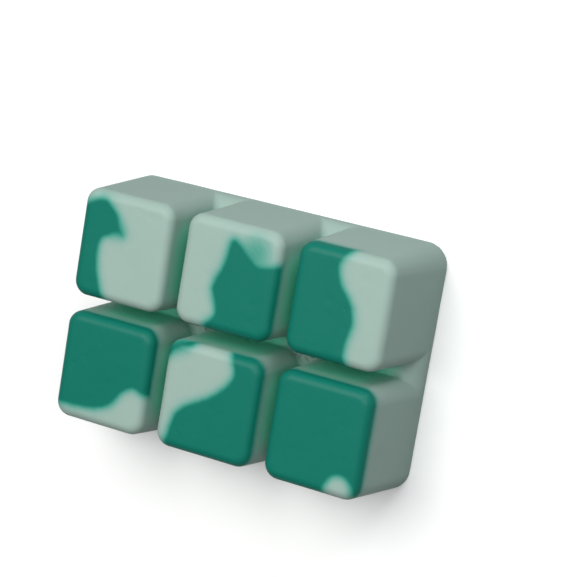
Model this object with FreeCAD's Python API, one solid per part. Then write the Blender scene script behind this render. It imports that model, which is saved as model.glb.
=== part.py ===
"""Wax melt snap bar: six drafted cubes on one slab, with wax of a second colour poured at their faces.

The bar lies on its back. Z points up out of the cubes' faces, X runs along the three columns and
Y from the front row to the back row. The origin is the middle of the flat back. Millimetres.
"""

import FreeCAD, Part
import math
import os

from FreeCAD import Vector

# Driving dimensions, in millimetres and degrees
end_cube_length = 23.0  # along X, at the faces
middle_cube_length = 23.9
cube_width = 24.7  # along Y, at the faces
column_groove_mouth = 3.6  # between the faces of two columns
row_groove_mouth = 3.7  # between the faces of the two rows
groove_floor_share = 0.75  # a groove's floor over its mouth
bar_height = 25.0
slab_thickness = 6.3
wall_draft = 4.4  # lean of the bar's outer walls
face_corner_radius = 3.4  # a cube's upright corners, seen from above, at its face
groove_end_radius = 4.3  # the same corners down at the slab
bar_corner_radius = 5.4  # the bar's own four corners, at the back
face_edge_round = 2.2  # between a cube's face and its walls
back_edge_round = 0.6  # around the flat back
pour_depth = 2.6  # second wax, measured down from the face

# Worked out from them
draft_slope = math.tan(math.radians(wall_draft))
face_half_length = middle_cube_length / 2 + column_groove_mouth + end_cube_length
face_half_width = row_groove_mouth / 2 + cube_width
back_half_length = face_half_length + bar_height * draft_slope
back_half_width = face_half_width + bar_height * draft_slope
column_break = (middle_cube_length + column_groove_mouth) / 2  # X of the plane where columns part
outside = 2 * max(back_half_length, back_half_width)  # clear of the bar on any side

columns = {"left": -1, "middle": 0, "right": 1}
rows = {"front": -1, "back": 1}


def outline(x_low, x_high, y_low, y_high, height, radii):
    """Closed rectangle at a height. radii holds the four corners' radii, from low X and low Y round."""
    corners = [(x_low, y_low), (x_high, y_low), (x_high, y_high), (x_low, y_high)]
    along = [(1, 0), (0, 1), (-1, 0), (0, -1)]
    edges = []
    arc_ends = []
    for index, (x, y) in enumerate(corners):
        before = along[index - 1]
        after = along[index]
        radius = radii[index]
        start = Vector(x - before[0] * radius, y - before[1] * radius, height)
        end = Vector(x + after[0] * radius, y + after[1] * radius, height)
        inset = radius * (1 - math.sqrt(0.5))
        middle = Vector(x + (after[0] - before[0]) * inset, y + (after[1] - before[1]) * inset, height)
        arc_ends.append((start, middle, end))
    for index, (start, middle, end) in enumerate(arc_ends):
        if radii[index] > 0:
            edges.append(Part.Arc(start, middle, end).toShape())
        next_start = arc_ends[(index + 1) % 4][0]
        edges.append(Part.LineSegment(end, next_start).toShape())
    return Part.Wire(edges)


def block(x_low, x_high, y_low, y_high, z_low, z_high):
    """Plain box between two corners."""
    corner = Vector(x_low, y_low, z_low)
    return Part.makeBox(x_high - x_low, y_high - y_low, z_high - z_low, corner)


def edges_at(shape, height):
    """Edges that lie wholly at one height."""
    level = [edge for edge in shape.Edges if abs(edge.BoundBox.ZMin - height) < 1e-4]
    return [edge for edge in level if abs(edge.BoundBox.ZMax - height) < 1e-4]


def bar_envelope():
    """The bar with no grooves: drafted walls, rounded corners, a round around the back."""
    back = outline(
        -back_half_length, back_half_length, -back_half_width, back_half_width, 0, [bar_corner_radius] * 4
    )
    face = outline(
        -face_half_length, face_half_length, -face_half_width, face_half_width, bar_height,
        [face_corner_radius] * 4,
    )
    solid = Part.makeLoft([back, face], True, True)
    return solid.makeFillet(back_edge_round, edges_at(solid, 0))


def spans_at(column, row, height):
    """A cube's X and Y extent at a height: its groove walls lean, its outer walls follow the bar's."""
    rise = (height - slab_thickness) / (bar_height - slab_thickness)
    share = groove_floor_share + (1 - groove_floor_share) * rise
    length_end = face_half_length + (bar_height - height) * draft_slope
    width_end = face_half_width + (bar_height - height) * draft_slope
    half_gap = column_groove_mouth / 2 * share
    row_half_gap = row_groove_mouth / 2 * share
    x_low = -length_end if column == -1 else (2 * column - 1) * column_break + half_gap
    x_high = length_end if column == 1 else (2 * column + 1) * column_break - half_gap
    y_low = -width_end if row == -1 else row_half_gap
    y_high = width_end if row == 1 else -row_half_gap
    return x_low, x_high, y_low, y_high


def upright(column, row):
    """Column of a cube from the slab to the face, with rounded corners except at the bar's own."""
    sides = [(-1, -1), (1, -1), (1, 1), (-1, 1)]
    own = [side == (column, row) for side in sides]
    low_radii = [0 if at_corner else groove_end_radius for at_corner in own]
    high_radii = [0 if at_corner else face_corner_radius for at_corner in own]
    low = outline(*spans_at(column, row, slab_thickness), slab_thickness, low_radii)
    high = outline(*spans_at(column, row, bar_height), bar_height, high_radii)
    return Part.makeLoft([low, high], True, True)


def casting(envelope, column, row):
    """One cube with its share of the slab, out to the planes where the bar snaps."""
    x_low = {-1: -outside, 0: -column_break, 1: column_break}[column]
    x_high = {-1: -column_break, 0: column_break, 1: outside}[column]
    y_low = {-1: -outside, 1: 0}[row]
    y_high = {-1: 0, 1: outside}[row]
    slab = envelope.common(block(x_low, x_high, y_low, y_high, -1, slab_thickness))
    cube = envelope.common(upright(column, row))
    whole = slab.fuse(cube).removeSplitter()
    return whole.makeFillet(face_edge_round, edges_at(whole, bar_height)).Solids[0]


# Where each pour ends on its face, as shares of the face's half length and half width from its middle.
# First the run of the edge over the face, then the way round outside the cube that closes it.
pours = {
    "back_left_pour": (
        "left", "back",
        [(-1.4, 0.60), (-0.95, 0.68), (-0.55, 0.84), (-0.28, 0.69), (-0.02, 0.26), (-0.40, 0.19),
         (-0.54, -0.21), (-0.40, -0.70), (-0.14, -1.4)],
        [(-1.4, -1.4)],
    ),
    "back_middle_pour": (
        "middle", "back",
        [(1.4, 0.40), (0.98, 0.40), (0.62, 0.34), (0.32, 0.51), (0.03, 0.69), (-0.09, 0.28),
         (-0.25, -0.28), (-0.14, -0.70), (-0.32, -0.93), (-0.08, -1.4)],
        [(1.4, -1.4)],
    ),
    "back_right_pour": (
        "right", "back",
        [(0.16, 1.4), (0.05, 1.0), (-0.09, 0.78), (-0.02, 0.43), (0.25, 0.08), (0.34, -0.24),
         (0.26, -0.70), (0.30, -0.92), (0.50, -1.4)],
        [(-1.4, -1.4), (-1.4, 1.4)],
    ),
    "front_left_pour": (
        "left", "front",
        [(-1.4, -0.78), (-0.85, -0.74), (-0.25, -0.70), (0.24, -0.54), (0.52, -0.22), (0.76, -0.13),
         (0.98, -0.21), (1.4, -0.08)],
        [(1.4, 1.4), (-1.4, 1.4)],
    ),
    "front_middle_pour": (
        "middle", "front",
        [(0.24, 1.4), (0.35, 0.96), (0.46, 0.66), (0.30, 0.35), (-0.19, -0.02), (-0.58, -0.30),
         (-0.69, -0.66), (-0.78, -1.0), (-0.90, -1.4)],
        [(1.4, -1.4), (1.4, 1.4)],
    ),
    "front_middle_corner_pour": (
        "middle", "front",
        [(-1.4, 0.58), (-0.88, 0.68), (-0.66, 0.80), (-0.48, 0.98), (-0.38, 1.4)],
        [(-1.4, 1.4)],
    ),
    "front_right_pour": (
        "right", "front",
        [(0.28, -1.4), (0.32, -0.86), (0.43, -0.65), (0.62, -0.57), (0.82, -0.65), (0.92, -0.86),
         (0.95, -1.4)],
        [(1.4, -1.4), (1.4, 1.4), (-1.4, 1.4), (-1.4, -1.4)],
    ),
}


def pour_prism(column, row, over_face, around):
    """Upright prism of a pour, from its underside to above the face."""
    x_low, x_high, y_low, y_high = spans_at(column, row, bar_height)
    centre = Vector((x_low + x_high) / 2, (y_low + y_high) / 2, bar_height - pour_depth)
    half_length = (x_high - x_low) / 2
    half_width = (y_high - y_low) / 2

    def place(share):
        return centre + Vector(share[0] * half_length, share[1] * half_width, 0)

    run = [place(share) for share in over_face]
    curve = Part.BSplineCurve()
    curve.interpolate(run)
    closing = [run[-1]] + [place(share) for share in around] + [run[0]]
    edges = [curve.toShape()]
    for start, end in zip(closing, closing[1:]):
        edges.append(Part.LineSegment(start, end).toShape())
    return Part.Face(Part.Wire(edges)).extrude(Vector(0, 0, 2 * pour_depth))


def export(shape, node):
    """Write one node, which is a single valid solid."""
    if len(shape.Solids) != 1 or not shape.isValid():
        raise ValueError(node + " is not one valid solid")
    shape.Solids[0].exportStep("parts/" + node + ".step")


def main():
    os.makedirs("parts", exist_ok=True)
    envelope = bar_envelope()
    cubes = {}
    for row_name, row in rows.items():
        for column_name, column in columns.items():
            cubes[column_name, row_name] = casting(envelope, column, row)
    for node, (column_name, row_name, over_face, around) in pours.items():
        prism = pour_prism(columns[column_name], rows[row_name], over_face, around)
        cube = cubes[column_name, row_name]
        export(cube.common(prism), node)
        cubes[column_name, row_name] = cube.cut(prism)
    for (column_name, row_name), cube in cubes.items():
        export(cube, row_name + "_" + column_name + "_cube")


main()
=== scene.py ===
"""Looks of a wax melt snap bar: six cast cubes on one slab, with a second wax poured at their faces."""

import math
import random

import bmesh
import bpy
import numpy as np
from mathutils import Matrix, Vector, kdtree, noise


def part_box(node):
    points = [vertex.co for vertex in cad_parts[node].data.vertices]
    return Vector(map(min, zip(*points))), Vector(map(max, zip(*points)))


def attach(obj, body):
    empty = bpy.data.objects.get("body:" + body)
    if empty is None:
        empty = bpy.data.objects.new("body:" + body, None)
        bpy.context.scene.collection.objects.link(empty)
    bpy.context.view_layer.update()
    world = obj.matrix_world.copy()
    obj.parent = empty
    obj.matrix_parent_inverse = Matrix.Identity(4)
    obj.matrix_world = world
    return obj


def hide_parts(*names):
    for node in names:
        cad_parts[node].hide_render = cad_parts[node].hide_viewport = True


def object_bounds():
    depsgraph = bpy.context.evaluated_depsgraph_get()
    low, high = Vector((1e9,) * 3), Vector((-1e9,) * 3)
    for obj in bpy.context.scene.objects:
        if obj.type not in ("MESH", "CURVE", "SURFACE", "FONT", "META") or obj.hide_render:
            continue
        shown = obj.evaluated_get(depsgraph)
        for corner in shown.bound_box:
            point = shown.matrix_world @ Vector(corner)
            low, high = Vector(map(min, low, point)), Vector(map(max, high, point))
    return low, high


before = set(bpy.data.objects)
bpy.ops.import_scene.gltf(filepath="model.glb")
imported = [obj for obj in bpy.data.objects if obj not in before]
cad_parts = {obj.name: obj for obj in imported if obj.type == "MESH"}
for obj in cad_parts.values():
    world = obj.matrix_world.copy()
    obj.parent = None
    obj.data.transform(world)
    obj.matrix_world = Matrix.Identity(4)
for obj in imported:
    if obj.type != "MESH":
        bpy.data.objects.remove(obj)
cad_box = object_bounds()

bl_info = {
    "name": "Wax melt snap bar",
    "version": (1, 0, 0),
    "blender": (4, 5, 0),
    "location": "3D Viewport > Sidebar > Snap Bar",
    "description": "Casts the bar's cubes, pours the second wax and sets the studio",
    "category": "Object",
}

MM = 0.001
COLUMNS = {"left": -1, "middle": 0, "right": 1}
ROWS = {"front": -1, "back": 1}
CUBES = [(column, row) for row in ROWS for column in COLUMNS]
BAR_LENGTH = cad_box[1].x - cad_box[0].x
BAR_WIDTH = cad_box[1].y - cad_box[0].y
BAR_HEIGHT = cad_box[1].z
COLUMN_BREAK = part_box("front_middle_cube")[1].x
ROW_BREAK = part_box("front_middle_cube")[1].y
OUTLINE_POINTS = 90  # along a pour's curved run

# Where each pour ends on its face, as shares of the face's half length and half width from its middle.
# First the run of the edge over the face, then the way round outside the cube that closes it.
POURS = {
    "back_left_pour": (
        "left", "back",
        [(-1.4, 0.60), (-0.95, 0.68), (-0.55, 0.84), (-0.28, 0.69), (-0.02, 0.26), (-0.40, 0.19),
         (-0.54, -0.21), (-0.40, -0.70), (-0.14, -1.4)],
        [(-1.4, -1.4)],
    ),
    "back_middle_pour": (
        "middle", "back",
        [(1.4, 0.40), (0.98, 0.40), (0.62, 0.34), (0.32, 0.51), (0.03, 0.69), (-0.09, 0.28),
         (-0.25, -0.28), (-0.14, -0.70), (-0.32, -0.93), (-0.08, -1.4)],
        [(1.4, -1.4)],
    ),
    "back_right_pour": (
        "right", "back",
        [(0.16, 1.4), (0.05, 1.0), (-0.09, 0.78), (-0.02, 0.43), (0.25, 0.08), (0.34, -0.24),
         (0.26, -0.70), (0.30, -0.92), (0.50, -1.4)],
        [(-1.4, -1.4), (-1.4, 1.4)],
    ),
    "front_left_pour": (
        "left", "front",
        [(-1.4, -0.78), (-0.85, -0.74), (-0.25, -0.70), (0.24, -0.54), (0.52, -0.22), (0.76, -0.13),
         (0.98, -0.21), (1.4, -0.08)],
        [(1.4, 1.4), (-1.4, 1.4)],
    ),
    "front_middle_pour": (
        "middle", "front",
        [(0.24, 1.4), (0.35, 0.96), (0.46, 0.66), (0.30, 0.35), (-0.19, -0.02), (-0.58, -0.30),
         (-0.69, -0.66), (-0.78, -1.0), (-0.90, -1.4)],
        [(1.4, -1.4), (1.4, 1.4)],
    ),
    "front_middle_corner_pour": (
        "middle", "front",
        [(-1.4, 0.58), (-0.88, 0.68), (-0.66, 0.80), (-0.48, 0.98), (-0.38, 1.4)],
        [(-1.4, 1.4)],
    ),
    "front_right_pour": (
        "right", "front",
        [(0.28, -1.4), (0.32, -0.86), (0.43, -0.65), (0.62, -0.57), (0.82, -0.65), (0.92, -0.86),
         (0.95, -1.4)],
        [(1.4, -1.4), (1.4, 1.4), (-1.4, 1.4), (-1.4, -1.4)],
    ),
}

# Thin smears of the second wax: the cube, the spot from its face's middle, its radius and its strength
HAZES = [
    (("middle", "back"), 6.0 * MM, 7.0 * MM, 5.6 * MM, 0.34),
]

# How far above its underside a column's pours start to show green on the cubes' walls
POUR_FADES = {"left": 0.2 * MM, "middle": 0.8 * MM, "right": 0.2 * MM}

# Spots where a pour is thin: the cube, the spot from its face's middle, its radius and what it loses
THIN_SPOTS = [
    (("left", "back"), -1.9 * MM, 4.6 * MM, 3.2 * MM, 0.9 * MM),
    (("middle", "front"), -9.5 * MM, 10.5 * MM, 4.5 * MM, 1.0 * MM),
]


# Sizes and colours a user would change


class SnapBarCasting(bpy.types.PropertyGroup):
    middle_length: bpy.props.FloatProperty(
        name="Middle cube", description="Length of a middle cube's face", default=23.9 * MM, unit="LENGTH"
    )
    column_groove: bpy.props.FloatProperty(
        name="Column groove", description="Mouth of the grooves between columns", default=3.6 * MM,
        unit="LENGTH",
    )
    row_groove: bpy.props.FloatProperty(
        name="Row groove", description="Mouth of the groove between rows", default=3.7 * MM, unit="LENGTH"
    )
    groove_floor_share: bpy.props.FloatProperty(
        name="Groove floor", description="A groove's floor over its mouth", default=0.75, subtype="FACTOR"
    )
    groove_fillet: bpy.props.FloatProperty(
        name="Groove fillet", description="Hollow round at the foot of each groove wall",
        default=1.4 * MM, unit="LENGTH",
    )
    slab: bpy.props.FloatProperty(
        name="Slab", description="Thickness of the wax under the grooves", default=6.3 * MM, unit="LENGTH"
    )
    draft: bpy.props.FloatProperty(
        name="Draft", description="Lean of the outer walls", default=math.radians(4.4), subtype="ANGLE"
    )
    corner_face: bpy.props.FloatProperty(
        name="Corner at face", description="A cube's upright corner radius at its face",
        default=3.4 * MM, unit="LENGTH",
    )
    corner_slab: bpy.props.FloatProperty(
        name="Corner at slab", description="The same radius down at the slab", default=4.3 * MM,
        unit="LENGTH",
    )
    corner_bar: bpy.props.FloatProperty(
        name="Bar corner", description="Radius of the bar's own corners at the back", default=5.4 * MM,
        unit="LENGTH",
    )
    edge_round: bpy.props.FloatProperty(
        name="Edge round", description="Round between a face and its walls", default=2.2 * MM,
        unit="LENGTH",
    )
    slab_round: bpy.props.FloatProperty(
        name="Slab round", description="Round where a groove's floor meets the outer walls",
        default=5.0 * MM, unit="LENGTH",
    )
    back_hollow: bpy.props.FloatProperty(
        name="Back hollow", description="How far the cooled back has sunk", default=0.25 * MM,
        unit="LENGTH",
    )
    back_rim: bpy.props.FloatProperty(
        name="Back rim", description="Width of the flat rim that the bar rests on",
        default=2.5 * MM, unit="LENGTH",
    )
    back_round: bpy.props.FloatProperty(
        name="Back round", description="Round between the walls and the back", default=0.6 * MM,
        unit="LENGTH",
    )
    waviness: bpy.props.FloatProperty(
        name="Waviness", description="How far the cast skin sinks in places", default=0.12 * MM,
        unit="LENGTH",
    )
    dimples: bpy.props.IntProperty(
        name="Dimples", description="Shallow dimples on each face", default=7, min=0
    )
    dimple_depth: bpy.props.FloatProperty(
        name="Dimple depth", description="How deep a dimple goes", default=0.05 * MM, unit="LENGTH"
    )
    break_depth: bpy.props.FloatProperty(
        name="Break depth", description="How uneven the snapped faces are", default=0.5 * MM,
        unit="LENGTH",
    )
    break_grid: bpy.props.FloatProperty(
        name="Break grid", description="Spacing of the points on a snapped face", default=0.6 * MM,
        unit="LENGTH",
    )
    grid: bpy.props.FloatProperty(
        name="Mesh grid", description="Spacing of the skin's points", default=0.45 * MM, unit="LENGTH"
    )


class SnapBarPour(bpy.types.PropertyGroup):
    depth: bpy.props.FloatProperty(
        name="Pour depth", description="Depth of the second wax below a face", default=2.6 * MM,
        unit="LENGTH",
    )
    bleed: bpy.props.FloatProperty(
        name="Bleed", description="How far the pour bleeds into the casting", default=0.62 * MM,
        unit="LENGTH",
    )
    start: bpy.props.FloatProperty(
        name="Bleed start", description="How far inside its outline a pour starts to thin",
        default=0.6 * MM, unit="LENGTH",
    )
    wander: bpy.props.FloatProperty(
        name="Wander", description="How far the mixed edge wanders off its outline",
        default=0.5 * MM, unit="LENGTH",
    )
    # Share of the painted green light laid on the grooves' shade
    steep: bpy.props.FloatProperty(
        name="Painted light", description="How strongly the grooves take the steeped colour", default=0.9,
        subtype="FACTOR", min=0, max=1,
    )


class SnapBarColours(bpy.types.PropertyGroup):
    pale: bpy.props.FloatVectorProperty(
        name="Pale wax", description="Colour of the casting", default=(0.308, 0.42, 0.375),
        subtype="COLOR", min=0, max=1,
    )
    green: bpy.props.FloatVectorProperty(
        name="Green wax", description="Colour of the pours", default=(0.004, 0.155, 0.112),
        subtype="COLOR", min=0, max=1,
    )
    # Painted light: green laid on groove walls in their shade, in place of bounce light and light through the
    # wax
    groove_light_colour: bpy.props.FloatVectorProperty(
        name="Painted groove light", description="Colour of the casting down in its grooves",
        default=(0.12, 0.60, 0.42), subtype="COLOR", min=0, max=1,
    )
    floor: bpy.props.FloatVectorProperty(
        name="Floor", description="Colour of the studio floor", default=(0.9, 0.9, 0.9),
        subtype="COLOR", min=0, max=1,
    )
    bounce: bpy.props.FloatProperty(
        name="Floor bounce", description="How much light the floor sends back on the bar", default=0.45,
        subtype="FACTOR", min=0, max=1,
    )


class SnapBarStage(bpy.types.PropertyGroup):
    aim: bpy.props.FloatVectorProperty(
        name="Aim", description="Point the camera looks at", default=(8.9 * MM, 12.7 * MM, 12 * MM),
        subtype="TRANSLATION",
    )
    azimuth: bpy.props.FloatProperty(
        name="Azimuth", description="Camera's way round, from the front row", default=math.radians(114.3),
        subtype="ANGLE",
    )
    elevation: bpy.props.FloatProperty(
        name="Elevation", description="Camera's height angle", default=math.radians(62.76),
        subtype="ANGLE",
    )
    roll: bpy.props.FloatProperty(
        name="Roll", description="Camera's turn about its own axis", default=math.radians(102.3),
        subtype="ANGLE",
    )
    distance: bpy.props.FloatProperty(
        name="Distance", description="From the aim to the camera", default=456.7 * MM, unit="LENGTH"
    )
    lens: bpy.props.FloatProperty(
        name="Lens", description="Focal length on a 36 mm sensor", default=129.1
    )


# Shape of the casting, as a signed distance in metres that is negative inside the wax


def rounded_meet(a, b, radius):
    """Distance of where two solids overlap, with a round along their meeting edge."""
    both_out = np.hypot(np.maximum(a + radius, 0), np.maximum(b + radius, 0))
    return np.minimum(np.maximum(a, b), -radius) + both_out


def filleted_join(a, b, radius):
    """Distance of two solids together, with a hollow round along the corner between them."""
    both_in = np.hypot(np.maximum(radius - a, 0), np.maximum(radius - b, 0))
    return np.maximum(np.minimum(a, b), radius) - both_in


def rectangle(x, y, x_low, x_high, y_low, y_high, radius):
    """Distance to a rounded rectangle, seen from above."""
    across = np.abs(x - (x_low + x_high) / 2) - ((x_high - x_low) / 2 - radius)
    along = np.abs(y - (y_low + y_high) / 2) - ((y_high - y_low) / 2 - radius)
    out = np.hypot(np.maximum(across, 0), np.maximum(along, 0))
    return out + np.minimum(np.maximum(across, along), 0) - radius


def ease(low, high, value):
    """0 below low, 1 above high, smooth between."""
    share = np.clip((value - low) / (high - low), 0, 1)
    return share * share * (3 - 2 * share)


def face_span(casting, column, row):
    """A cube's face seen from above: its middle and half sizes."""
    lean = BAR_HEIGHT * math.tan(casting.draft)
    break_gap = casting.column_groove / 2
    if column == "middle":
        x_low, x_high = -casting.middle_length / 2, casting.middle_length / 2
    else:
        x_low, x_high = COLUMN_BREAK + break_gap, BAR_LENGTH / 2 - lean
    y_low, y_high = ROW_BREAK + casting.row_groove / 2, BAR_WIDTH / 2 - lean
    x_middle = (x_low + x_high) / 2 * (COLUMNS[column] or 1)
    y_middle = (y_low + y_high) / 2 * ROWS[row]
    return Vector((x_middle, y_middle)), (x_high - x_low) / 2, (y_high - y_low) / 2


def wax_distance(casting, x, y, z):
    """Signed distance of the whole bar at arrays of points."""
    slope = math.tan(casting.draft)
    half_length = BAR_LENGTH / 2 - z * slope
    half_width = BAR_WIDTH / 2 - z * slope
    rise = (z - casting.slab) / (BAR_HEIGHT - casting.slab)
    share = casting.groove_floor_share + (1 - casting.groove_floor_share) * rise
    corner = casting.corner_slab + (casting.corner_face - casting.corner_slab) * np.clip(rise, 0, 1)
    gap_x, gap_y = casting.column_groove / 2 * share, casting.row_groove / 2 * share
    far = BAR_LENGTH
    uprights = None
    for column, row in CUBES:
        x_low = {-1: -far, 0: -COLUMN_BREAK + gap_x, 1: COLUMN_BREAK + gap_x}[COLUMNS[column]]
        x_high = {-1: -COLUMN_BREAK - gap_x, 0: COLUMN_BREAK - gap_x, 1: far}[COLUMNS[column]]
        y_low = {-1: -far, 1: gap_y}[ROWS[row]]
        y_high = {-1: -gap_y, 1: far}[ROWS[row]]
        upright = rectangle(x, y, x_low, x_high, y_low, y_high, corner)
        uprights = upright if uprights is None else np.minimum(uprights, upright)
    own_corner = casting.corner_bar + (casting.corner_face - casting.corner_bar) * z / BAR_HEIGHT
    walls = rectangle(x, y, -half_length, half_length, -half_width, half_width, own_corner)
    uprights = rounded_meet(uprights, walls, corner)
    slab = rounded_meet(z - casting.slab, walls, casting.slab_round)
    fillet = casting.groove_fillet * ease(0, 2 * casting.groove_fillet, -walls)
    wax = filleted_join(uprights, slab, fillet)
    wax = rounded_meet(wax, z - BAR_HEIGHT, casting.edge_round)
    hollow = casting.back_hollow * ease(casting.back_rim, 3 * casting.back_rim, -walls)
    return rounded_meet(wax, hollow - z, casting.back_round)


def skin_points(casting):
    """Points and four-sided faces of the bar's skin, from a grid through its distance field."""
    step = casting.grid
    low = np.array([-BAR_LENGTH / 2, -BAR_WIDTH / 2, 0]) - 1.5 * step
    count = (np.array([BAR_LENGTH, BAR_WIDTH, BAR_HEIGHT]) / step).astype(int) + 4
    axes = [low[i] + step * np.arange(count[i]) for i in range(3)]
    field = wax_distance(casting, *np.meshgrid(*axes, indexing="ij"))
    cells = count - 1
    total = np.zeros((*cells, 3))
    hits = np.zeros(cells)
    crossings = []
    for axis in range(3):
        near = [slice(None)] * 3
        beyond = [slice(None)] * 3
        near[axis], beyond[axis] = slice(None, -1), slice(1, None)
        start, end = field[tuple(near)], field[tuple(beyond)]
        crossed = np.argwhere((start < 0) != (end < 0))
        value = start[tuple(crossed.T)]
        part = value / (value - end[tuple(crossed.T)])
        place = low + step * crossed
        place[:, axis] += step * part
        one, two = [i for i in range(3) if i != axis]
        around = []
        for shift_one, shift_two in ((0, 0), (-1, 0), (-1, -1), (0, -1)):
            cell = crossed.copy()
            cell[:, one] += shift_one
            cell[:, two] += shift_two
            np.add.at(total, tuple(cell.T), place)
            np.add.at(hits, tuple(cell.T), 1)
            around.append(cell)
        crossings.append((around, value < 0, axis))
    active = hits > 0
    number = np.full(cells, -1)
    number[active] = np.arange(active.sum())
    points = total[active] / hits[active][:, None]
    faces = []
    for around, rising, axis in crossings:
        quads = np.stack([number[tuple(cell.T)] for cell in around], axis=1)
        outward = rising if axis != 1 else ~rising
        quads[~outward] = quads[~outward][:, ::-1]
        faces.append(quads)
    return settle(casting, points), np.concatenate(faces)


def settle(casting, points):
    """Moves points onto the skin exactly."""
    nudge = 0.02 * MM
    for _ in range(3):
        value = wax_distance(casting, *points.T)
        slope = np.empty_like(points)
        for axis in range(3):
            shifted = points.copy()
            shifted[:, axis] += nudge
            slope[:, axis] = (wax_distance(casting, *shifted.T) - value) / nudge
        steep = np.maximum((slope ** 2).sum(1), 0.25)
        points = points - slope * (value / steep)[:, None]
    return points


def sink_skin(casting, bm):
    """Sinks the skin in soft hollows and a few dimples, as wax does when it shrinks in its mould."""
    draw = random.Random(7)
    dimples = []
    for column, row in CUBES:
        middle, half_length, half_width = face_span(casting, column, row)
        for _ in range(casting.dimples):
            place = Vector((draw.uniform(-0.8, 0.8) * half_length, draw.uniform(-0.8, 0.8) * half_width))
            radius = draw.uniform(0.7, 1.6) * MM
            dimples.append(((middle + place).to_3d() + Vector((0, 0, BAR_HEIGHT)), radius))
    tree = kdtree.KDTree(len(dimples))
    for index, (place, _) in enumerate(dimples):
        tree.insert(place, index)
    tree.balance()
    bm.normal_update()
    for vert in bm.verts:
        if vert.co.z < casting.slab / 2 and vert.normal.z < -0.5:
            continue
        spot = vert.co / MM
        slow = noise.noise(spot * 0.09)
        quick = noise.noise(spot * 0.31 + Vector((40, 0, 0)))
        sink = casting.waviness * (0.5 + 0.38 * slow + 0.12 * quick)
        for _, index, gap in tree.find_range(vert.co, 2 * MM):
            sink += casting.dimple_depth * (1 - ease(0, dimples[index][1], gap))
        vert.co -= vert.normal * min(sink, vert.co.z)


def cut_to_cell(casting, bm, column, row):
    """Keeps one cube and its share of the slab, and closes the planes where the bar snaps."""
    planes = []
    if column != "left":
        planes.append((Vector((-COLUMN_BREAK if column == "middle" else COLUMN_BREAK, 0, 0)), (-1, 0, 0)))
    if column != "right":
        planes.append((Vector((COLUMN_BREAK if column == "middle" else -COLUMN_BREAK, 0, 0)), (1, 0, 0)))
    planes.append((Vector((0, ROW_BREAK, 0)), (0, -ROWS[row], 0)))
    for index, (place, outward) in enumerate(planes):
        everything = bm.verts[:] + bm.edges[:] + bm.faces[:]
        cut = bmesh.ops.bisect_plane(
            bm, geom=everything, dist=1e-7, plane_co=place, plane_no=outward, clear_outer=True
        )
        rim = [item for item in cut["geom_cut"] if isinstance(item, bmesh.types.BMEdge)]
        for face in bmesh.ops.contextual_create(bm, geom=rim)["faces"]:
            face.material_index = index + 1
    for index, (place, outward) in enumerate(planes):
        roughen_break(casting, bm, index + 1, Vector(outward))


def roughen_break(casting, bm, mark, outward):
    """Divides one broken face into small faces and gives it the uneven surface of snapped wax."""
    along = Vector((0, 0, 1)).cross(outward)
    for direction in (along, Vector((0, 0, 1))):
        faces = [face for face in bm.faces if face.material_index == mark]
        reach = [vert.co.dot(direction) for face in faces for vert in face.verts]
        place = min(reach) + casting.break_grid
        while place < max(reach) - casting.break_grid / 2:
            geom = set(faces)
            for face in faces:
                geom.update(face.verts)
                geom.update(face.edges)
            bmesh.ops.bisect_plane(
                bm, geom=list(geom), dist=1e-7, plane_co=direction * place, plane_no=direction
            )
            faces = [face for face in bm.faces if face.material_index == mark]
            place += casting.break_grid
    faces = [face for face in bm.faces if face.material_index == mark]
    verts = {vert for face in faces for vert in face.verts}
    rim = [vert for vert in verts if any(face.material_index != mark for face in vert.link_faces)]
    tree = kdtree.KDTree(len(rim))
    for index, vert in enumerate(rim):
        tree.insert(vert.co, index)
    tree.balance()
    for vert in verts.difference(rim):
        inset = tree.find(vert.co)[2]
        spot = vert.co / MM
        torn = 0.5 + 0.5 * noise.noise(spot * 0.45 + outward * 30)
        grain = noise.noise(spot * 1.7 + outward * 60)
        vert.co -= outward * casting.break_depth * max(0, torn + 0.35 * grain) * ease(0, 1 * MM, inset)


def smooth_run(points, count):
    """Points along a smooth curve through the given ones: a natural cubic by chord length."""
    gaps = np.hypot(*np.diff(points, axis=0).T)
    place = np.concatenate([[0], np.cumsum(gaps)])
    matrix, right = np.eye(len(points)), np.zeros((len(points), 2))
    for i in range(1, len(points) - 1):
        before, after = gaps[i - 1], gaps[i]
        matrix[i, i - 1:i + 2] = before, 2 * (before + after), after
        right[i] = 6 * ((points[i + 1] - points[i]) / after - (points[i] - points[i - 1]) / before)
    bend = np.linalg.solve(matrix, right)
    where = np.linspace(0, place[-1], count)
    span = np.clip(np.searchsorted(place, where, side="right") - 1, 0, len(gaps) - 1)
    gap = gaps[span]
    left = ((place[span + 1] - where) / gap)[:, None]
    rest = 1 - left
    curve = (left ** 3 - left) * bend[span] + (rest ** 3 - rest) * bend[span + 1]
    return left * points[span] + rest * points[span + 1] + curve * (gap ** 2 / 6)[:, None]


def pour_outline(casting, column, row, over_face, around):
    """Closed outline of a pour seen from above, in metres."""
    middle, half_length, half_width = face_span(casting, column, row)
    scale = np.array([half_length, half_width])
    run = smooth_run(np.array(over_face) * scale + np.array(middle), OUTLINE_POINTS)
    return np.concatenate([run, np.array(around) * scale + np.array(middle)])


def outline_distance(outline, points):
    """Signed distance from points to a closed outline, positive inside it."""
    nearest = np.full(len(points), np.inf)
    inside = np.zeros(len(points), bool)
    for start, end in zip(outline, np.roll(outline, -1, axis=0)):
        run = end - start
        share = np.clip((points - start) @ run / (run @ run), 0, 1)
        nearest = np.minimum(nearest, np.hypot(*(points - start - share[:, None] * run).T))
        level = (start[1] > points[:, 1]) != (end[1] > points[:, 1])
        if run[1]:
            crossing = start[0] + (points[:, 1] - start[1]) * run[0] / run[1]
            inside ^= level & (points[:, 0] < crossing)
    return np.where(inside, nearest, -nearest)


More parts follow.
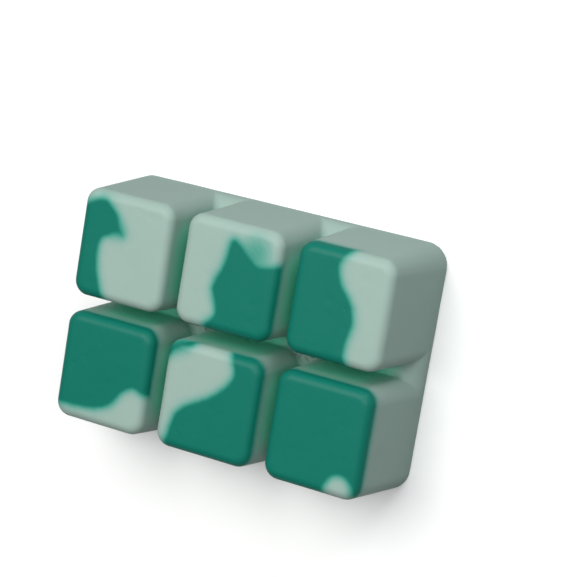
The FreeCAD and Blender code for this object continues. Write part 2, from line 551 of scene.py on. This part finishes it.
def pour_block(name, outline, low, high):
    """Upright block of an outline, to cut a pour from its cube."""
    bm = bmesh.new()
    ground = bm.faces.new([bm.verts.new((x, y, low)) for x, y in outline])
    raised = bmesh.ops.extrude_face_region(bm, geom=[ground])["geom"]
    lift = [item for item in raised if isinstance(item, bmesh.types.BMVert)]
    bmesh.ops.translate(bm, verts=lift, vec=(0, 0, high - low))
    bmesh.ops.recalc_face_normals(bm, faces=bm.faces[:])
    mesh = bpy.data.meshes.new(name)
    bm.to_mesh(mesh)
    bm.free()
    block = bpy.data.objects.new(name, mesh)
    bpy.context.scene.collection.objects.link(block)
    return block


def carved(piece, block, operation):
    """Mesh that is left when a block is cut from a piece, or kept of it."""
    knife = piece.modifiers.new("knife", "BOOLEAN")
    knife.object, knife.operation, knife.solver = block, operation, "MANIFOLD"
    shape = piece.evaluated_get(bpy.context.evaluated_depsgraph_get())
    mesh = bpy.data.meshes.new_from_object(shape)
    piece.modifiers.remove(knife)
    return mesh


def sharpen(mesh):
    """Smooth shading apart from a piece's real edges."""
    for polygon in mesh.polygons:
        polygon.use_smooth = True
    mesh.set_sharp_from_angle(angle=math.radians(40))


def near_spot(casting, x, y, spot):
    """Amount of a spot on a face at each point: all of it at its middle, none past its radius."""
    (column, row), east, north, radius, amount = spot
    middle = face_span(casting, column, row)[0] + Vector((east, north))
    return amount * (1 - ease(0, radius, np.hypot(x - middle.x, y - middle.y)))


def mark_wax(casting, pour, mesh, column, outlines):
    """Gives each point what the waxes' materials need to know of its place.

    pour_depth is how far in a pour it lies, in millimetres; pour_haze is how much of a smear covers it.
    groove_depth is 1 low in a groove's middle, and masks the painted green light of the grooves' shade;
    groove_torn is 1 where two grooves cross.
    """
    count = len(mesh.vertices)
    points = np.empty(count * 3, np.float32)
    mesh.vertices.foreach_get("co", points)
    points = points.reshape(-1, 3).astype(float)
    x, y, z = points.T
    into = np.full(count, -0.1)
    above = z - (BAR_HEIGHT - pour.depth)
    for outline in outlines:
        across = outline_distance(outline, points[:, :2])
        into = np.maximum(into, np.minimum(across, above - POUR_FADES[column]))
    for spot in THIN_SPOTS:
        into -= near_spot(casting, x, y, spot)
    haze = np.zeros(count)
    for spot in HAZES:
        haze = np.maximum(haze, near_spot(casting, x, y, spot) * ease(-1 * MM, 1 * MM, above))
    # Mask for the painted green light in the grooves' shade: strongest deep down and far from the outer
    # walls, weaker near where grooves cross
    lean = (BAR_HEIGHT - z) * math.tan(casting.draft)
    half = np.array([[BAR_LENGTH / 2], [BAR_WIDTH / 2]]) - BAR_HEIGHT * math.tan(casting.draft) + lean
    inward = np.minimum(half[0] - np.abs(x), half[1] - np.abs(y))
    deep = ease(-1 * MM, 9 * MM, BAR_HEIGHT - z) * ease(1 * MM, 9 * MM, inward)
    deep *= ease(0.4 * MM, 1.8 * MM, BAR_HEIGHT - z)
    above_back = z > casting.slab / 2
    crossing = np.hypot(np.abs(x) - COLUMN_BREAK, y - ROW_BREAK)
    deep *= above_back * (0.3 + 0.7 * ease(3 * MM, 8 * MM, crossing))
    low = 1 - ease(1 * MM, 4 * MM, z - casting.slab)
    torn = above_back * low * (1 - ease(2.5 * MM, 6.5 * MM, crossing))
    layers = {"pour_depth": into / MM, "pour_haze": haze, "groove_depth": deep, "groove_torn": torn}
    for name, values in layers.items():
        layer = mesh.attributes.get(name) or mesh.attributes.new(name, "FLOAT", "POINT")
        layer.data.foreach_set("value", values.astype(np.float32))


# Waxes


def add(tree, kind, inputs=None, **settings):
    """One shader node. An input takes a value, or another node's output to link."""
    node = tree.nodes.new("ShaderNode" + kind)
    for name, value in settings.items():
        setattr(node, name, value)
    for name, value in (inputs or {}).items():
        if isinstance(value, bpy.types.NodeSocket):
            tree.links.new(value, node.inputs[name])
        else:
            node.inputs[name].default_value = value
    return node


def maths(tree, operation, *values):
    """Result of one sum on values or sockets."""
    return add(tree, "Math", dict(enumerate(values)), operation=operation).outputs[0]


def effect(name, inputs, outputs):
    """Empty shader node group with the named inputs and outputs, and its two end nodes."""
    group = bpy.data.node_groups.new(name, "ShaderNodeTree")
    for socket, kind, value in inputs:
        made = group.interface.new_socket(socket, in_out="INPUT", socket_type="NodeSocket" + kind)
        if value is not None:
            made.default_value = value
    for socket, kind in outputs:
        group.interface.new_socket(socket, in_out="OUTPUT", socket_type="NodeSocket" + kind)
    start = group.nodes.new("NodeGroupInput")
    end = group.nodes.new("NodeGroupOutput")
    return group, start.outputs, end.inputs


def mixed_waxes(pale, green, share):
    """Colour of two waxes melted together: pigments multiply, so each channel mixes by its power."""
    red, green, blue = (a ** (1 - share) * b ** share for a, b in zip(pale, green))
    return red, green, blue * (1 - 0.24 * share * (1 - share))


def marbling_effect(pale, green, groove_light_colour):
    """Where the waxes mix: the pour bleeds into the casting and thins to a haze. The grooves take painted
    light: a bright green that stands in for the bounce light and the light through the wax in their shade.

    Where Torn is above 0 the wax is cracked and greyer, as its thin web is where grooves cross.
    """
    group, given, out = effect(
        "wax_marbling",
        [("Vector", "Vector", None), ("Depth", "Float", 0), ("Haze", "Float", 0), ("Groove", "Float", 0),
         ("Bleed", "Float", 0.57), ("Start", "Float", 0.6), ("Wander", "Float", 0.5),
         ("Painted light", "Float", 0.9), ("Torn", "Float", 0)],
        [("Color", "Color")],
    )
    drift = add(group, "TexNoise", {"Vector": given["Vector"], "Scale": 0.42, "Detail": 2.0})
    streak = add(group, "TexNoise", {"Vector": given["Vector"], "Scale": 1.5, "Detail": 3.0})
    wander = maths(group, "MULTIPLY", maths(group, "SUBTRACT", drift.outputs["Fac"], 0.5), given["Wander"])
    depth = maths(group, "ADD", given["Depth"], wander)
    beyond = maths(group, "MAXIMUM", maths(group, "SUBTRACT", given["Start"], depth), 0.0)
    softened = maths(group, "SUBTRACT", maths(group, "SQRT", maths(
        group, "MULTIPLY_ADD", beyond, beyond, 0.09)), 0.3)
    bleed = maths(group, "EXPONENT", maths(group, "DIVIDE", maths(
        group, "MULTIPLY", softened, -1.0), given["Bleed"]))
    patchy = maths(group, "MULTIPLY_ADD", streak.outputs["Fac"], 0.5, 0.75)
    haze = maths(group, "MULTIPLY", given["Haze"], patchy)
    share = maths(group, "SUBTRACT", maths(group, "ADD", bleed, haze), maths(group, "MULTIPLY", bleed, haze))
    ramp = add(group, "ValToRGB", {"Fac": share})
    stops = (0, 0.12, 0.25, 0.4, 0.6, 0.8, 1)
    while len(ramp.color_ramp.elements) < len(stops):
        ramp.color_ramp.elements.new(0.5)
    for stop, element in zip(stops, ramp.color_ramp.elements):
        element.position = stop
        element.color = (*mixed_waxes(pale, green, stop), 1)
    bare = maths(group, "SUBTRACT", 1.0, share)
    # Painted light: the grooves' shade turns a bright green, in place of bounce light and light through the
    # wax
    painted_light_share = maths(group, "MULTIPLY", maths(group, "MULTIPLY", given["Groove"], given["Painted light"]), bare)
    colour = add(group, "Mix", {0: painted_light_share, 6: ramp.outputs["Color"], 7: (*groove_light_colour, 1)}, data_type="RGBA")
    tears = add(group, "TexNoise", {"Vector": given["Vector"], "Scale": 0.3, "Detail": 2.0,
                                    "Distortion": 1.0})
    ridge = maths(group, "ABSOLUTE", maths(group, "SUBTRACT", tears.outputs["Fac"], 0.5))
    crack = add(group, "MapRange", {"Value": ridge, "From Min": 0.004, "From Max": 0.035, "To Min": 1.0,
                                    "To Max": 0.0}, interpolation_type="SMOOTHSTEP")
    loss = maths(group, "MULTIPLY", maths(group, "MULTIPLY_ADD", crack.outputs[0], 0.35, 0.35), given["Torn"])
    torn = add(group, "VectorMath", {0: colour.outputs[2], 1: maths(group, "SUBTRACT", 1.0, loss)},
               operation="MULTIPLY")
    group.links.new(torn.outputs[0], out["Color"])
    return group


def bloom_effect():
    """Frosty bloom and cloudiness of cast wax, as a colour change and a roughness."""
    group, given, out = effect(
        "wax_bloom",
        [("Vector", "Vector", None), ("Color", "Color", None), ("Cloud", "Float", 0.05),
         ("Frost", "Float", 0.04), ("Roughness", "Float", 0.5)],
        [("Color", "Color"), ("Roughness", "Float")],
    )
    cloud = add(group, "TexNoise", {"Vector": given["Vector"], "Scale": 0.16, "Detail": 4.0})
    frost = add(group, "TexNoise", {"Vector": given["Vector"], "Scale": 3.4, "Detail": 5.0,
                                    "Roughness": 0.65})
    cloudy = maths(group, "MULTIPLY", maths(group, "SUBTRACT", cloud.outputs["Fac"], 0.5), given["Cloud"])
    frosty = maths(group, "MULTIPLY", maths(group, "SUBTRACT", frost.outputs["Fac"], 0.5), given["Frost"])
    level = maths(group, "ADD", maths(group, "ADD", cloudy, frosty), 1.0)
    colour = add(group, "VectorMath", {0: given["Color"], 1: level}, operation="MULTIPLY")
    group.links.new(colour.outputs[0], out["Color"])
    rough = maths(group, "MULTIPLY_ADD", frosty, 2.0, given["Roughness"])
    group.links.new(maths(group, "MULTIPLY_ADD", cloudy, 1.5, rough), out["Roughness"])
    return group


def cast_skin_effect():
    """Height of a cast skin in tenths of a millimetre: fine grain, pinholes and rubbed scratches."""
    group, given, out = effect(
        "cast_skin",
        [("Vector", "Vector", None), ("Grain", "Float", 0.06), ("Pinholes", "Float", 0.6),
         ("Scratches", "Float", 0.1)],
        [("Height", "Float")],
    )
    grain = add(group, "TexNoise", {"Vector": given["Vector"], "Scale": 2.6, "Detail": 4.0})
    soft = add(group, "TexNoise", {"Vector": given["Vector"], "Scale": 0.55, "Detail": 1.0})
    holes = add(group, "TexVoronoi", {"Vector": given["Vector"], "Scale": 0.22, "Randomness": 1.0})
    hole = add(group, "MapRange", {"Value": holes.outputs["Distance"], "From Min": 0.02, "From Max": 0.1,
                                   "To Min": -1.0, "To Max": 0.0}, interpolation_type="SMOOTHSTEP")
    stretched = add(group, "Mapping", {"Vector": given["Vector"], "Rotation": (0.3, 0.2, 0.6),
                                       "Scale": (0.35, 9.0, 0.35)})
    rub = add(group, "TexNoise", {"Vector": stretched.outputs[0], "Scale": 1.0, "Detail": 2.0})
    scratch = add(group, "MapRange", {"Value": rub.outputs["Fac"], "From Min": 0.66, "From Max": 0.74,
                                      "To Min": 0.0, "To Max": -1.0}, interpolation_type="SMOOTHSTEP")
    height = maths(group, "MULTIPLY", grain.outputs["Fac"], given["Grain"])
    height = maths(group, "MULTIPLY_ADD", soft.outputs["Fac"], maths(
        group, "MULTIPLY", given["Grain"], 4.0), height)
    height = maths(group, "MULTIPLY_ADD", hole.outputs[0], given["Pinholes"], height)
    height = maths(group, "MULTIPLY_ADD", scratch.outputs[0], given["Scratches"], height)
    group.links.new(height, out["Height"])
    return group


def placed(tree, name, inputs):
    """One of the effects, placed in a material."""
    node = tree.nodes.new("ShaderNodeGroup")
    node.node_tree = bpy.data.node_groups[name]
    for socket, value in inputs.items():
        if isinstance(value, bpy.types.NodeSocket):
            tree.links.new(value, node.inputs[socket])
        else:
            node.inputs[socket].default_value = value
    return node.outputs


def new_material(name):
    material = bpy.data.materials.new(name)
    material.use_nodes = True
    tree = material.node_tree
    shader = tree.nodes["Principled BSDF"]
    spot = add(tree, "TexCoord").outputs["Object"]
    in_mm = add(tree, "VectorMath", {0: spot, 1: (1 / MM,) * 3}, operation="MULTIPLY").outputs[0]
    return material, tree, shader, in_mm


def wax_material(name, pour, roughness, specular, frost, pinholes):
    """A cast wax, with the marbling that both waxes share where they meet.

    Groove walls take the painted green light of their shade only while another wall shuts them in, as the
    ambient occlusion finds, so a snapped-off cube looks pale.
    """
    material, tree, shader, in_mm = new_material(name)
    layers = {
        socket: add(tree, "Attribute", attribute_name=layer).outputs["Fac"]
        for socket, layer in (("Depth", "pour_depth"), ("Haze", "pour_haze"), ("Groove", "groove_depth"),
                              ("Torn", "groove_torn"))
    }
    # Painted light in the grooves is kept to where ambient occlusion finds the wall shut in
    open_round = add(tree, "AmbientOcclusion", {"Distance": 7 * MM}, samples=8)
    shut_in = add(tree, "MapRange", {"Value": open_round.outputs["AO"], "From Min": 0.9, "From Max": 0.35,
                                     "To Min": 0.0, "To Max": 1.0}, interpolation_type="SMOOTHSTEP")
    layers["Groove"] = maths(tree, "MULTIPLY", layers["Groove"], shut_in.outputs[0])
    marbled = placed(tree, "wax_marbling", {
        "Vector": in_mm, "Bleed": pour.bleed / MM, "Start": pour.start / MM, "Wander": pour.wander / MM,
        "Painted light": pour.steep, **layers,
    })
    bloomed = placed(tree, "wax_bloom", {
        "Vector": in_mm, "Color": marbled["Color"], "Roughness": roughness, "Frost": frost,
    })
    skin = placed(tree, "cast_skin", {"Vector": in_mm, "Pinholes": pinholes})
    bump = add(tree, "Bump", {"Height": skin["Height"], "Strength": 1.0, "Distance": 0.1 * MM})
    tree.links.new(bloomed["Color"], shader.inputs["Base Color"])
    tree.links.new(bloomed["Roughness"], shader.inputs["Roughness"])
    tree.links.new(bump.outputs[0], shader.inputs["Normal"])
    shader.inputs["Specular IOR Level"].default_value = specular
    shader.inputs["IOR"].default_value = 1.44
    return material


def broken_material(colours):
    """Snapped wax: whiter than the skin, with a coarse crystalline grain."""
    material, tree, shader, in_mm = new_material("broken_wax")
    grain = add(tree, "TexVoronoi", {"Vector": in_mm, "Scale": 1.3})
    fine = add(tree, "TexNoise", {"Vector": in_mm, "Scale": 2.2, "Detail": 5.0})
    lift = maths(tree, "MULTIPLY_ADD", fine.outputs["Fac"], 0.5, 0.85)
    lighter = add(tree, "VectorMath", {0: tuple(colours.pale), 1: lift}, operation="MULTIPLY")
    bloomed = placed(tree, "wax_bloom", {
        "Vector": in_mm, "Color": lighter.outputs[0], "Roughness": 0.75, "Frost": 0.12,
    })
    height = maths(tree, "MULTIPLY_ADD", grain.outputs["Distance"], 0.8, fine.outputs["Fac"])
    bump = add(tree, "Bump", {"Height": height, "Strength": 1.0, "Distance": 0.25 * MM})
    tree.links.new(bloomed["Color"], shader.inputs["Base Color"])
    tree.links.new(bloomed["Roughness"], shader.inputs["Roughness"])
    tree.links.new(bump.outputs[0], shader.inputs["Normal"])
    shader.inputs["Specular IOR Level"].default_value = 0.3
    return material


def floor_material(colours):
    """Matt paper, brighter to the camera than in the light that it sends back on the bar."""
    material, tree, shader, in_mm = new_material("studio_paper")
    fibre = add(tree, "TexNoise", {"Vector": in_mm, "Scale": 0.9, "Detail": 4.0})
    bump = add(tree, "Bump", {"Height": fibre.outputs["Fac"], "Strength": 0.2, "Distance": 0.05 * MM})
    tree.links.new(bump.outputs[0], shader.inputs["Normal"])
    seen = add(tree, "LightPath").outputs["Is Camera Ray"]
    lit, sent_back = (*colours.floor, 1), (*(colours.bounce * part for part in colours.floor), 1)
    paper = add(tree, "Mix", {0: seen, 6: sent_back, 7: lit}, data_type="RGBA")
    tree.links.new(paper.outputs[2], shader.inputs["Base Color"])
    tree.links.new(maths(tree, "MULTIPLY", seen, 0.1), shader.inputs["Emission Strength"])
    shader.inputs["Roughness"].default_value = 0.9
    shader.inputs["Specular IOR Level"].default_value = 0.1
    return material


# Operators


class SNAPBAR_OT_waxes(bpy.types.Operator):
    """Mix the two waxes and the broken wax"""

    bl_idname = "snapbar.waxes"
    bl_label = "Mix the waxes"

    def execute(self, context):
        colours, pour = context.scene.snapbar_colours, context.scene.snapbar_pour
        marbling_effect(tuple(colours.pale), tuple(colours.green), tuple(colours.groove_light_colour))
        bloom_effect()
        cast_skin_effect()
        wax_material("cast_wax", pour, roughness=0.5, specular=0.3, frost=0.05, pinholes=0.25)
        wax_material("poured_wax", pour, roughness=0.42, specular=0.2, frost=0.08, pinholes=0.35)
        broken_material(colours)
        return {"FINISHED"}


class SNAPBAR_OT_cast(bpy.types.Operator):
    """Cast the six cubes, each with its share of the slab"""

    bl_idname = "snapbar.cast"
    bl_label = "Cast the cubes"

    def execute(self, context):
        casting, pour = context.scene.snapbar_casting, context.scene.snapbar_pour
        points, faces = skin_points(casting)
        mesh = bpy.data.meshes.new("bar_skin")
        mesh.from_pydata(points, [], faces.tolist())
        whole = bmesh.new()
        whole.from_mesh(mesh)
        bpy.data.meshes.remove(mesh)
        bmesh.ops.recalc_face_normals(whole, faces=whole.faces[:])
        sink_skin(casting, whole)
        for column, row in CUBES:
            bm = whole.copy()
            cut_to_cell(casting, bm, column, row)
            for face in bm.faces:
                face.material_index = min(face.material_index, 1)
            mesh = bpy.data.meshes.new(f"{row}_{column}_casting")
            bm.to_mesh(mesh)
            bm.free()
            sharpen(mesh)
            mark_wax(casting, pour, mesh, column, [])
            mesh.materials.append(bpy.data.materials["cast_wax"])
            mesh.materials.append(bpy.data.materials["broken_wax"])
            piece = bpy.data.objects.new(mesh.name, mesh)
            context.scene.collection.objects.link(piece)
            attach(piece, f"{row}_{column}")
            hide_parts(f"{row}_{column}_cube")
        whole.free()
        return {"FINISHED"}


class SNAPBAR_OT_pour(bpy.types.Operator):
    """Pour the second wax into each casting's face"""

    bl_idname = "snapbar.pour"
    bl_label = "Pour the second wax"

    def execute(self, context):
        casting, pour = context.scene.snapbar_casting, context.scene.snapbar_pour
        outlines = {
            node: pour_outline(casting, column, row, over_face, around)
            for node, (column, row, over_face, around) in POURS.items()
        }
        for node, (column, row, _, _) in POURS.items():
            cube = bpy.data.objects[f"{row}_{column}_casting"]
            block = pour_block("block", outlines[node], BAR_HEIGHT - pour.depth, BAR_HEIGHT + pour.depth)
            poured, left = carved(cube, block, "INTERSECT"), carved(cube, block, "DIFFERENCE")
            bpy.data.objects.remove(block)
            on_cube = [outlines[other] for other in POURS if POURS[other][:2] == (column, row)]
            for mesh in (poured, left):
                sharpen(mesh)
                mark_wax(casting, pour, mesh, column, on_cube)
            cube.data = left
            poured.materials.clear()
            poured.materials.append(bpy.data.materials["poured_wax"])
            piece = bpy.data.objects.new(node + "_wax", poured)
            context.scene.collection.objects.link(piece)
            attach(piece, f"{row}_{column}")
            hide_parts(node)
        return {"FINISHED"}


class SNAPBAR_OT_stage(bpy.types.Operator):
    """Set the floor, the lights and the camera"""

    bl_idname = "snapbar.stage"
    bl_label = "Set the stage"

    def execute(self, context):
        lay_floor(context.scene.snapbar_colours)
        hang_lights(context.scene)
        place_camera(context.scene, context.scene.snapbar_stage)
        context.scene.view_settings.view_transform = "Standard"
        return {"FINISHED"}


def lay_floor(colours):
    bm = bmesh.new()
    bmesh.ops.create_circle(bm, cap_ends=True, radius=3.0, segments=96)
    mesh = bpy.data.meshes.new("studio_floor")
    bm.to_mesh(mesh)
    bm.free()
    mesh.materials.append(floor_material(colours))
    floor = bpy.data.objects.new("studio_floor", mesh)
    bpy.context.scene.collection.objects.link(floor)


def direction(azimuth, elevation):
    """Unit vector from the bar: azimuth 0 is towards the front, 90 degrees towards the right."""
    flat = math.cos(elevation)
    return Vector((math.sin(azimuth) * flat, -math.cos(azimuth) * flat, math.sin(elevation)))


def softbox(name, azimuth, elevation, distance, size, power, colour):
    """Round soft light aimed at the bar. Azimuth and elevation in degrees."""
    light = bpy.data.lights.new(name, "AREA")
    light.shape = "DISK"
    light.size = size
    light.energy = power
    light.color = colour
    lamp = bpy.data.objects.new(name, light)
    towards = direction(math.radians(azimuth), math.radians(elevation))
    lamp.location = towards * distance
    lamp.rotation_euler = towards.to_track_quat("Z", "Y").to_euler()
    lamp.visible_camera = False
    bpy.context.scene.collection.objects.link(lamp)


def hang_lights(scene):
    softbox("key_light", 207, 64, 1.2, 1.0, 12.7, (1.0, 1.0, 0.98))
    softbox("front_light", 112, 62, 1.2, 0.5, 4.0, (1.0, 1.0, 0.98))
    softbox("back_light", 150, 30, 0.42, 0.15, 0.4, (0.9, 0.96, 1.0))
    world = bpy.data.worlds.new("studio")
    world.use_nodes = True
    world.node_tree.nodes["Background"].inputs["Color"].default_value = (0.88, 0.95, 1.0, 1)
    world.node_tree.nodes["Background"].inputs["Strength"].default_value = 0.14
    scene.world = world


def place_camera(scene, stage):
    lens = bpy.data.cameras.new("camera")
    lens.lens = stage.lens
    lens.sensor_width = 36
    lens.clip_start, lens.clip_end = 0.01, 20
    camera = bpy.data.objects.new("camera", lens)
    back = direction(stage.azimuth, stage.elevation)
    camera.location = Vector(stage.aim) + back * stage.distance
    turn = back.to_track_quat("Z", "Y").to_matrix() @ Matrix.Rotation(-stage.roll, 3, "Z")
    camera.rotation_euler = turn.to_euler()
    scene.collection.objects.link(camera)
    scene.camera = camera


class SNAPBAR_PT_panel(bpy.types.Panel):
    """Sizes, colours and steps of the bar"""

    bl_idname = "SNAPBAR_PT_panel"
    bl_label = "Snap Bar"
    bl_space_type = "VIEW_3D"
    bl_region_type = "UI"
    bl_category = "Snap Bar"

    def draw(self, context):
        for name, group in GROUPS.items():
            box = self.layout.box()
            for field in group.__annotations__:
                box.prop(getattr(context.scene, name), field)
        for operator in OPERATORS:
            self.layout.operator(operator.bl_idname)


GROUPS = {
    "snapbar_casting": SnapBarCasting,
    "snapbar_pour": SnapBarPour,
    "snapbar_colours": SnapBarColours,
    "snapbar_stage": SnapBarStage,
}
OPERATORS = (SNAPBAR_OT_waxes, SNAPBAR_OT_cast, SNAPBAR_OT_pour, SNAPBAR_OT_stage)


def register():
    for name, group in GROUPS.items():
        bpy.utils.register_class(group)
        setattr(bpy.types.Scene, name, bpy.props.PointerProperty(type=group))
    for operator in OPERATORS:
        bpy.utils.register_class(operator)
    bpy.utils.register_class(SNAPBAR_PT_panel)


def unregister():
    bpy.utils.unregister_class(SNAPBAR_PT_panel)
    for operator in reversed(OPERATORS):
        bpy.utils.unregister_class(operator)
    for name, group in GROUPS.items():
        delattr(bpy.types.Scene, name)
        bpy.utils.unregister_class(group)


def main():
    register()
    for step in (bpy.ops.snapbar.waxes, bpy.ops.snapbar.cast, bpy.ops.snapbar.pour, bpy.ops.snapbar.stage):
        step()


if __name__ == "__main__":
    main()
